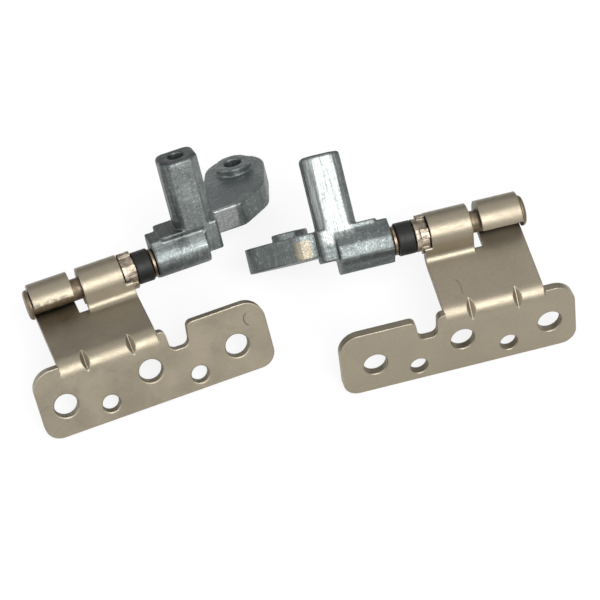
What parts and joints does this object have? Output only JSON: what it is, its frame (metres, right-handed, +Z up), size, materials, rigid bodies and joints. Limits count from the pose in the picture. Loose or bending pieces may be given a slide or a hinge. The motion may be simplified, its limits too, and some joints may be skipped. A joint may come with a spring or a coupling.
{
  "type": "pair of laptop hinges",
  "caption": "Pair of mirrored laptop lid hinges: bent steel lid brackets with curled knuckles turn stiffly on shafts held in cast base brackets with screw post and ear.",
  "frame": {"origin": "middle of the footprint on the table top, at the height of the lowest point", "axes": "+Z up, +X to the right along the pair, +Y away from the viewer"},
  "size_m": [0.0694, 0.0422, 0.0192],
  "materials": {
    "nickel_steel": "warm nickel plating",
    "pin_steel": "plated, slightly oily",
    "ring_nickel": "bright, notched",
    "black_steel": "matte black oxide",
    "copper": "copper tone",
    "zinc_casting": "grey zinc die casting, sparkling grain"
  },
  "bodies": {
    "base_brackets": {"left_hinge_pin": "pin_steel", "left_notched_ring": "ring_nickel", "left_black_sleeve": "black_steel", "left_copper_washer": "copper", "left_base_bracket": "zinc_casting", "right_hinge_pin": "pin_steel", "right_notched_ring": "ring_nickel", "right_black_sleeve": "black_steel", "right_copper_washer": "copper", "right_base_bracket": "zinc_casting"},
    "left_lid": {"left_lid_bracket": "nickel_steel"},
    "right_lid": {"right_lid_bracket": "nickel_steel"}
  },
  "joints": [
    {"name": "left_lid_turn", "type": "hinge", "parent": "base_brackets", "child": "left_lid", "pos_m": [-0.02482, -0.00173, 0.00704], "axis": [0.9288, 0.3706, 0], "range_deg": [-56, 94]},
    {"name": "right_lid_turn", "type": "hinge", "parent": "base_brackets", "child": "right_lid", "pos_m": [0.01873, 0.00188, 0.01129], "axis": [0.9662, 0.2576, -0.0001], "range_deg": [-101, 49]}
  ]
}
